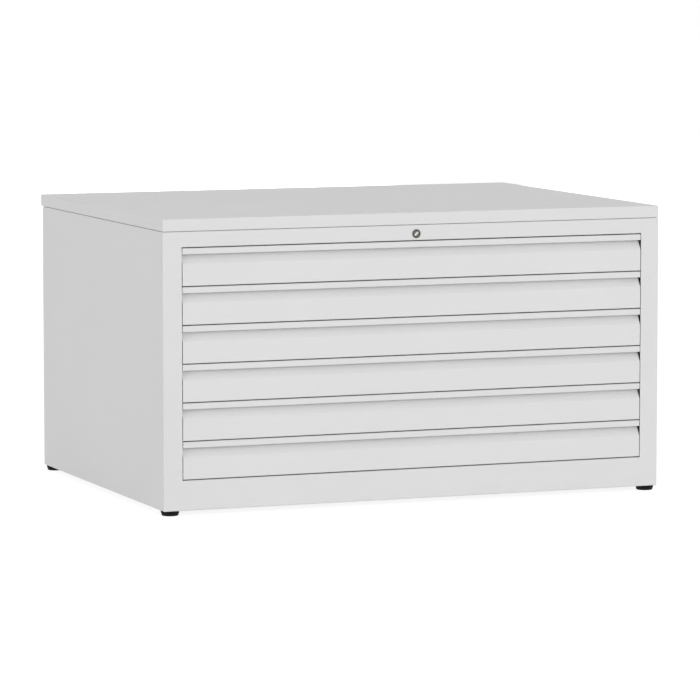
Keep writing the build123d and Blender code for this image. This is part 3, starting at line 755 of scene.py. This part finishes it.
@dataclass
class Feet:
    """Moulded glides: a tapered body with a soft lower edge, a groove and a ribbed collar."""

    paintwork: Paintwork
    segments: int = 144
    edge_steps: int = 5
    top_radius: float = 19.5 * MM
    base_radius: float = 17.0 * MM
    edge: float = 1.2 * MM
    groove_height: float = 6.6 * MM
    groove_width: float = 0.9 * MM
    groove_depth: float = 0.7 * MM
    groove_slope: float = 0.15 * MM
    top_bevel: float = 0.4 * MM
    top_bevel_height: float = 0.5 * MM
    tread: float = 3.4 * MM
    tread_slope: float = 0.6 * MM
    underside_rise: float = 0.8 * MM
    underside_centre: float = 6.0 * MM
    top_centre: float = 5.0 * MM
    rib_count: int = 36
    rib_height: float = 0.28 * MM

    def build(self) -> None:
        """Turns one glide and copies it to the frame's four places.

        The radius of the collar above the groove swells by rib height * cos(rib count * t).
        """
        low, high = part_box("foot_pads")
        top_radius, base_radius = self.top_radius, self.base_radius
        height = high.z - low.z
        arc = np.linspace(0.0, math.pi / 2, self.edge_steps + 1)
        foot_x = base_radius - self.edge + self.edge * np.sin(arc)
        foot_z = self.edge - self.edge * np.cos(arc)
        slope = (top_radius - base_radius) / height

        def wall(z: float) -> float:
            """Returns the taper's radius at a height."""
            return base_radius + slope * z

        below = self.groove_height - self.groove_width / 2
        above = self.groove_height + self.groove_width / 2
        rise, hollow = self.underside_rise, base_radius - self.tread
        deep, lean = self.groove_depth, self.groove_slope
        top, bevel = wall(height), self.top_bevel
        profile = np.concatenate(
            [
                [(self.underside_centre, rise), (hollow - self.tread_slope, rise), (hollow, 0.0)],
                np.stack([foot_x, foot_z], axis=1),
                [(wall(below), below), (wall(below) - deep, below + lean)],
                [(wall(above) - deep, above - lean), (wall(above), above)],
                [(top - bevel, height - self.top_bevel_height), (top - 2 * bevel, height)],
                [(self.top_centre, height)],
            ]
        )
        shell = turned_shape(profile, self.segments)
        flat = np.hypot(shell.points[:, 0], shell.points[:, 1])
        turn = np.arctan2(shell.points[:, 1], shell.points[:, 0])
        collar = (shell.points[:, 2] >= above) & (flat > base_radius)
        swell = np.where(collar, self.rib_height * (np.cos(self.rib_count * turn) - 1.0), 0.0)
        grow = 1.0 + swell / np.maximum(flat, MM)
        shell.points = shell.points * np.stack([grow, grow, np.ones_like(grow)], axis=1)
        x = high.x - top_radius
        depths = (low.y + top_radius, high.y - top_radius)
        places = np.array([(side.value * x, y, low.z) for side in Side for y in depths])
        glides = shell.repeated(places)
        make_piece("foot_glides", glides, "casing", Slot.FOOT, self.paintwork, ("foot_pads",))


# Slides


@dataclass
class Slides:
    """Telescopic slides: rolled members with bent races, ball cages and balls."""

    paintwork: Paintwork
    sheet: float = 1.15 * MM
    fixed_height: float = 45.7 * MM
    fixed_depth: float = 12.0 * MM
    fixed_lip: float = 2.4 * MM
    middle_height: float = 36.0 * MM
    inner_height: float = 26.8 * MM
    middle_offset: float = 3.4 * MM
    middle_rim: float = 11.4 * MM
    inner_rim: float = 6.0 * MM
    web_fold: float = 3.0 * MM
    lip_fold: float = 2.3 * MM
    ball_count: int = 24
    ball_facets: int = 8
    ball_latitudes: tuple[float, ...] = (-68.0, -36.0, 0.0, 36.0, 68.0)
    ball_play: float = 0.05 * MM
    cage_width: float = 4.6 * MM
    cage_sheet: float = 0.7 * MM
    cage_skirt: float = 0.9 * MM
    cage_fold: float = 0.8 * MM
    cage_length: float = 300.0 * MM
    cage_margin: float = 20.0 * MM

    def __post_init__(self) -> None:
        """Takes the slides' ends and the uprights' faces from the frame."""
        low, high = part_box("drawer_1_inner_members")
        self.front, self.back = low.y, high.y
        self.web_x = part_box("fixed_slide_members")[1].x
        self.thickness = self.web_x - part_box("drawer_1_tray")[1].x

    def height_of(self, number: int) -> float:
        """Returns the height of a drawer's slides' middle line."""
        low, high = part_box(f"drawer_{number}_inner_members")
        return (low.z + high.z) / 2

    def member(self, base: float, rim: float, height: float, lip: float) -> Shell:
        """Bends one member: a web at base, flanges out to rim, and edges turned in by lip.

        The shell's first axis runs from the upright to the drawer.

        Args:
            base: Distance of the web from the upright.
            rim: Distance of the flanges' ends from the upright.
            height: Overall height.
            lip: Length of the turned-in edges, 0 for none.

        Returns:
            The member, from the slides' front to their back, with its middle at height 0.
        """
        top = height / 2
        corners = [(rim, top), (base, top), (base, -top), (rim, -top)]
        radii = [self.web_fold, self.web_fold]
        if lip:
            corners = [(rim, top - lip), *corners, (rim, lip - top)]
            radii = [self.lip_fold, *radii, self.lip_fold]
        line = rounded_line(np.array(corners), np.array(radii))
        inward = self.sheet if rim > base else -self.sheet
        return folded_sheet(line, inward, self.front, self.back)

    def race(self, low: float, high: float, start: float, up: int) -> Shell:
        """Makes a cage strip with its balls in the gap between two members.

        The cage's section is a strip bent round the balls, and ball i stands at start + (i + 1/2) *
        length / count.

        Args:
            low: Height of the inner race above the middle line.
            high: Height of the outer race.
            start: Where the cage starts along the slide.
            up: 1 for the upper race, -1 for the lower.

        Returns:
            The cage and the balls.
        """
        middle = (self.middle_offset + self.middle_rim) / 2
        centre = (low + high) / 2
        radius = (high - low) / 2 - self.ball_play
        left, right = middle - self.cage_width / 2, middle + self.cage_width / 2
        skirt = centre - self.cage_skirt
        corners = np.array([(left, skirt), (left, centre), (right, centre), (right, skirt)])
        line = rounded_line(corners, np.array([self.cage_fold, self.cage_fold]), steps=3)
        cage = folded_sheet(line, -self.cage_sheet, start, start + self.cage_length)
        latitude = np.radians(np.array(self.ball_latitudes))
        arc = radius * np.stack([np.cos(latitude), np.sin(latitude)], axis=1)
        ball = turned_shape(arc, self.ball_facets)
        along = start + (np.arange(self.ball_count) + 0.5) * self.cage_length / self.ball_count
        places = np.stack([np.full_like(along, middle), along, np.full_like(along, centre)], axis=1)
        return joined([cage, ball.repeated(places)]).turned(np.diag([1.0, 1.0, float(up)]))

    def to_side(self, shell: Shell, side: Side, z: float) -> Shell:
        """Returns a shell whose first axis runs inward from a side's uprights, at height z."""
        mirror = np.diag([-float(side.value), 1.0, 1.0])
        return shell.turned(mirror).moved(side.value * self.web_x, 0.0, z)

    def build(self) -> None:
        """Makes each drawer's inner and middle members, then the fixed members as one piece."""
        paint = self.paintwork
        fixed = self.member(0.0, self.fixed_depth, self.fixed_height, self.fixed_lip)
        middle = self.member(self.middle_offset, self.middle_rim, self.middle_height, 0.0)
        inner = self.member(self.thickness, self.inner_rim, self.inner_height, 0.0)
        rear = self.back - self.cage_margin - self.cage_length
        front = self.front + self.cage_margin
        races = []
        inner_top, middle_top = self.inner_height / 2, self.middle_height / 2
        fixed_top = self.fixed_height / 2
        for up in (-1, 1):
            races.append(self.race(middle_top, fixed_top - self.sheet, rear, up))
            races.append(self.race(inner_top, middle_top - self.sheet, front, up))
        running = joined([middle, *races])
        rows = []
        for number in DRAWERS:
            z = self.height_of(number)
            rows += [self.to_side(fixed, side, z) for side in Side]
            carried = joined([self.to_side(inner, side, z) for side in Side])
            rolling = joined([self.to_side(running, side, z) for side in Side])
            body, inner_node = f"drawer_{number}", f"drawer_{number}_inner_members"
            rolling_body, middle_node = f"drawer_{number}_middle", f"drawer_{number}_middle_members"
            make_piece(f"{body}_inner_runners", carried, body, Slot.ZINC, paint, (inner_node,))
            make_piece(
                f"{body}_middle_runners", rolling, rolling_body, Slot.ZINC, paint, (middle_node,)
            )
        fixed_node = "fixed_slide_members"
        make_piece("fixed_runners", joined(rows), "casing", Slot.ZINC, paint, (fixed_node,))


@dataclass
class SlideScrews:
    """Pan head screws with cross recesses that hold the fixed runners to the uprights."""

    paintwork: Paintwork
    slides: Slides
    radius: float = 4.0 * MM
    head: float = 1.6 * MM
    shank: float = 2.0 * MM
    shank_length: float = 6.8 * MM
    recess_reach: float = 2.3 * MM
    recess_half_width: float = 0.42 * MM
    recess_depth: float = 0.9 * MM
    centre_share: float = 0.03
    segments: int = 48
    rings: int = 12
    upright_width: float = 40.0 * MM

    def screw(self) -> Shell:
        """Shapes one screw on its own axis.

        The head's height is head * (1 - (r / radius) ** 4) ** 0.5, lowered by the recess depth
        where either coordinate is within the recess's half width and r within its reach.

        Returns:
            The screw with its seat at height 0 and its head above.
        """
        around = np.arange(self.segments) * (2 * math.pi / self.segments)
        share = np.linspace(self.centre_share, 1.0, self.rings)[:, None]
        radius = self.radius * share
        x, y = radius * np.cos(around), radius * np.sin(around)
        dome = self.head * np.sqrt(np.clip(1.0 - share**4, 0.0, 1.0)) + np.zeros_like(x)
        near = np.minimum(np.abs(x), np.abs(y)) < self.recess_half_width
        cut = near & (radius < self.recess_reach)
        top = np.stack([x, y, dome - self.recess_depth * cut], axis=-1)
        profile = [(self.radius, 0.0), (self.shank, 0.0), (self.shank, -self.shank_length)]
        reach, level = np.array(profile).T[:, :, None]
        level = level + np.zeros_like(around)
        sides = np.stack([reach * np.cos(around), reach * np.sin(around), level], axis=-1)
        return loft(np.concatenate([top, sides]))

    def build(self) -> None:
        """Sets a screw where each side's uprights meet each slide."""
        screw = self.screw()
        sets = []
        for side, word in ((Side.LEFT, "left"), (Side.RIGHT, "right")):
            low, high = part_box(f"{word}_uprights")
            depths = (low.y + self.upright_width / 2, high.y - self.upright_width / 2)
            seats = [(0.0, y, self.slides.height_of(number)) for y in depths for number in DRAWERS]
            x = side.value * (self.slides.web_x - self.slides.sheet)
            turned = screw.turned(facing_inward(side)).repeated(np.array(seats))
            sets.append(turned.moved(x, 0.0, 0.0))
        screws, paint = joined(sets), self.paintwork
        make_piece("runner_screws", screws, "casing", Slot.FASTENER, paint, ("slide_screws",))


# Drawers


def weld_mark(radius: float, height: float) -> Shell:
    """Shapes a spot weld's mark that faces the back, its foot sunk into the sheet.

    Its height is height * sin(pi * share) ** 2, with share going from its rim to its middle,
    which leaves a ring round a dimple.

    Args:
        radius: Radius of the mark.
        height: Height of the ring.

    Returns:
        The mark at the origin.
    """
    skin, sunk, innermost = 0.02 * MM, 0.3 * MM, 0.05
    rings, segments = 8, 20
    share = np.linspace(1.0, innermost, rings)
    rise = height * np.sin(math.pi * share) ** 2 + skin
    profile = np.concatenate([[(radius, -sunk)], np.stack([radius * share, rise], axis=1)])
    return turned_shape(profile, segments).turned(FACING_BACK)


@dataclass
class DrawerDetail:
    """Sheet work inside the drawers: the hemmed rear hood, and weld marks behind the front."""

    paintwork: Paintwork
    sheet: float = 0.95 * MM
    hem: float = 8.0 * MM
    hem_steps: int = 8
    hem_flat: float = 0.02 * MM
    weld_radius: float = 3.0 * MM
    weld_height: float = 0.12 * MM
    weld_count: int = 9
    weld_margin: float = 60.0 * MM
    weld_rise: float = 44.0 * MM
    tray_wall: float = 1.0 * MM

    def hood(self, number: int) -> Shell:
        """Folds a drawer's rear hood with its doubled front edge.

        Args:
            number: The drawer, 1 at the top.

        Returns:
            The hood in place.
        """
        low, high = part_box(f"drawer_{number}_rear_hood")
        rise = high.z - low.z
        corners = np.array([(high.y, 0.0), (low.y, 0.0), (low.y, rise), (low.y + self.hem, rise)])
        radius = (rise - self.hem_flat) / 2
        line = rounded_line(corners, np.array([radius, radius]), self.hem_steps)
        shell = folded_sheet(line, -self.sheet, low.x, high.x)
        swapped = Shell(shell.points[:, [1, 0, 2]], shell.faces)
        return swapped.moved(0.0, 0.0, low.z)

    def weld_marks(self, number: int) -> Shell:
        """Sets a row of spot weld marks on the inside of a tray's front wall.

        Args:
            number: The drawer, 1 at the top.

        Returns:
            The marks in place.
        """
        low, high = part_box(f"drawer_{number}_tray")
        mark = weld_mark(self.weld_radius, self.weld_height)
        x = np.linspace(low.x + self.weld_margin, high.x - self.weld_margin, self.weld_count)
        y = np.full_like(x, low.y + self.tray_wall)
        z = np.full_like(x, low.z + self.weld_rise)
        return mark.repeated(np.stack([x, y, z], axis=1))

    def build(self) -> None:
        """Makes the hoods and the weld marks of all the drawers."""
        paint = self.paintwork
        for number in DRAWERS:
            body, node = f"drawer_{number}", f"drawer_{number}_rear_hood"
            make_piece(f"{body}_hemmed_hood", self.hood(number), body, Slot.DRAWER, paint, (node,))
            make_piece(f"{body}_weld_marks", self.weld_marks(number), body, Slot.DRAWER, paint)


@dataclass
class CasingWelds:
    """Spot weld marks on the rear flanges that hold the back panel."""

    paintwork: Paintwork
    radius: float = 3.2 * MM
    height: float = 0.14 * MM
    count: int = 8
    inset: float = 12.5 * MM
    margin: float = 35.0 * MM

    def build(self) -> None:
        """Sets a column of marks on each rear flange."""
        low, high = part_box("left_side_panel")
        z = np.linspace(low.z + self.margin, high.z - self.margin, self.count)
        x = np.full_like(z, low.x + self.inset)
        columns = [np.stack([sign * x, np.full_like(z, high.y), z], axis=1) for sign in (1, -1)]
        marks = weld_mark(self.radius, self.height).repeated(np.concatenate(columns))
        make_piece("rear_weld_marks", marks, "casing", Slot.CASING, self.paintwork)


# Studio


@dataclass
class SoftLamp:
    """A square soft light aimed at a point."""

    name: str
    place: Triple
    target: Triple
    size: float
    power: float

    def build(self) -> None:
        """Hangs the lamp."""
        data = bpy.data.lights.new(self.name, "AREA")
        data.shape = "SQUARE"
        data.size = self.size
        data.energy = self.power
        lamp = bpy.data.objects.new(self.name, data)
        lamp.location = self.place
        aim = Vector(self.target) - Vector(self.place)
        lamp.rotation_euler = aim.to_track_quat("-Z", "Y").to_euler()
        lamp.visible_glossy = False
        bpy.context.scene.collection.objects.link(lamp)


@dataclass
class Studio:
    """White room, lamps and camera."""

    lens: float = 220.99
    sensor: float = 36.0
    camera_place: Triple = (-3.3620, -8.5338, 1.2308)
    camera_pitch: float = 5.925
    camera_yaw: float = 21.584
    floor_half: float = 30.0
    floor_tone: float = 0.86
    floor_roughness: float = 0.9
    floor_shine: float = 0.1
    ambient: float = 0.51
    floor_glow: float = 1.22
    shown_share: float = 0.72
    lamps: list[SoftLamp] = field(
        default_factory=lambda: [
            SoftLamp("front_soft_box", (1.2, -10.0, 2.3), (0.0, 0.0, 0.2), 5.0, 385.0),
            SoftLamp("left_soft_box", (-9.0, -2.5, 3.0), (0.0, 0.0, 0.3), 5.0, 193.0),
            SoftLamp("rear_soft_box", (3.5, 9.0, 1.0), (0.0, 0.0, 0.3), 3.0, 330.0),
        ]
    )

    def shown_white(self, board: NodeBoard, share: float) -> Socket:
        """Gives a factor for what the camera, mirrors and glass see.

        Args:
            board: The nodes to add to.
            share: The factor where any of the three sees the surface.

        Returns:
            The socket of the factor.
        """
        path = board.add("ShaderNodeLightPath")
        either = board.add("ShaderNodeMath", operation="MAXIMUM")
        board.join(path.outputs["Is Camera Ray"], either.inputs[0])
        board.join(path.outputs["Is Glossy Ray"], either.inputs[1])
        any_ray = board.add("ShaderNodeMath", operation="MAXIMUM")
        board.join(either.outputs[0], any_ray.inputs[0])
        board.join(path.outputs["Is Transmission Ray"], any_ray.inputs[1])
        scaled = board.add("ShaderNodeMath", operation="MULTIPLY")
        board.join(any_ray.outputs[0], scaled.inputs[0])
        scaled.inputs[1].default_value = share
        return scaled.outputs[0]

    def floor(self) -> None:
        """Lays a white floor that shows as near white and keeps the chest's soft shadow."""
        half = self.floor_half
        mesh = bpy.data.meshes.new("studio_floor")
        corners = [(-half, -half, 0), (half, -half, 0), (half, half, 0), (-half, half, 0)]
        mesh.from_pydata(corners, [], [(0, 1, 2, 3)])
        tone = (self.floor_tone, self.floor_tone, self.floor_tone)
        board, shader = blank_material("studio_white", tone)
        shader.inputs["Roughness"].default_value = self.floor_roughness
        shader.inputs["Specular IOR Level"].default_value = self.floor_shine
        glow = board.add("ShaderNodeEmission", Color=WHITE, Strength=self.floor_glow)
        mix = board.add("ShaderNodeMixShader")
        board.join(self.shown_white(board, self.shown_share), mix.inputs["Fac"])
        board.join(shader.outputs[0], mix.inputs[1])
        board.join(glow.outputs[0], mix.inputs[2])
        output = board.material.node_tree.nodes["Material Output"]
        board.join(mix.outputs[0], output.inputs["Surface"])
        mesh.materials.append(board.material)
        floor = bpy.data.objects.new("studio_floor", mesh)
        bpy.context.scene.collection.objects.link(floor)

    def world(self) -> None:
        """Sets an even ambient light that shows as plain white."""
        world = bpy.data.worlds.new("studio_world")
        world.use_nodes = True
        bpy.context.scene.world = world
        board = NodeBoard(world)
        ambient = world.node_tree.nodes["Background"]
        ambient.inputs["Color"].default_value = WHITE
        ambient.inputs["Strength"].default_value = self.ambient
        white = board.add("ShaderNodeBackground", Color=WHITE, Strength=1.0)
        mix = board.add("ShaderNodeMixShader")
        board.join(self.shown_white(board, 1.0), mix.inputs["Fac"])
        board.join(ambient.outputs[0], mix.inputs[1])
        board.join(white.outputs[0], mix.inputs[2])
        output = world.node_tree.nodes["World Output"]
        board.join(mix.outputs[0], output.inputs["Surface"])

    def camera(self) -> None:
        """Sets the camera at the photograph's place and angle."""
        data = bpy.data.cameras.new("photo_camera")
        data.sensor_width = self.sensor
        data.lens = self.lens
        camera = bpy.data.objects.new("photo_camera", data)
        camera.location = self.camera_place
        pitch, yaw = math.radians(90.0 - self.camera_pitch), math.radians(-self.camera_yaw)
        camera.rotation_euler = (pitch, 0.0, yaw)
        bpy.context.scene.collection.objects.link(camera)
        bpy.context.scene.camera = camera

    def build(self) -> None:
        """Sets up the camera, the floor, the world and the lamps."""
        bpy.context.scene.view_settings.view_transform = "Standard"
        self.camera()
        self.floor()
        self.world()
        for lamp in self.lamps:
            lamp.build()
        LOG.info("studio ready with %d lamps", len(self.lamps))


def main() -> None:
    """Builds the studio, coats the frame and adds the detailed pieces."""
    logging.basicConfig(level=logging.INFO, format="%(name)s: %(message)s")
    Studio().build()
    paintwork = Paintwork()
    paintwork.coat_frame()
    Lock(paintwork).build()
    Feet(paintwork).build()
    slides = Slides(paintwork)
    slides.build()
    SlideScrews(paintwork, slides).build()
    DrawerDetail(paintwork).build()
    CasingWelds(paintwork).build()


if __name__ == "__main__":
    main()
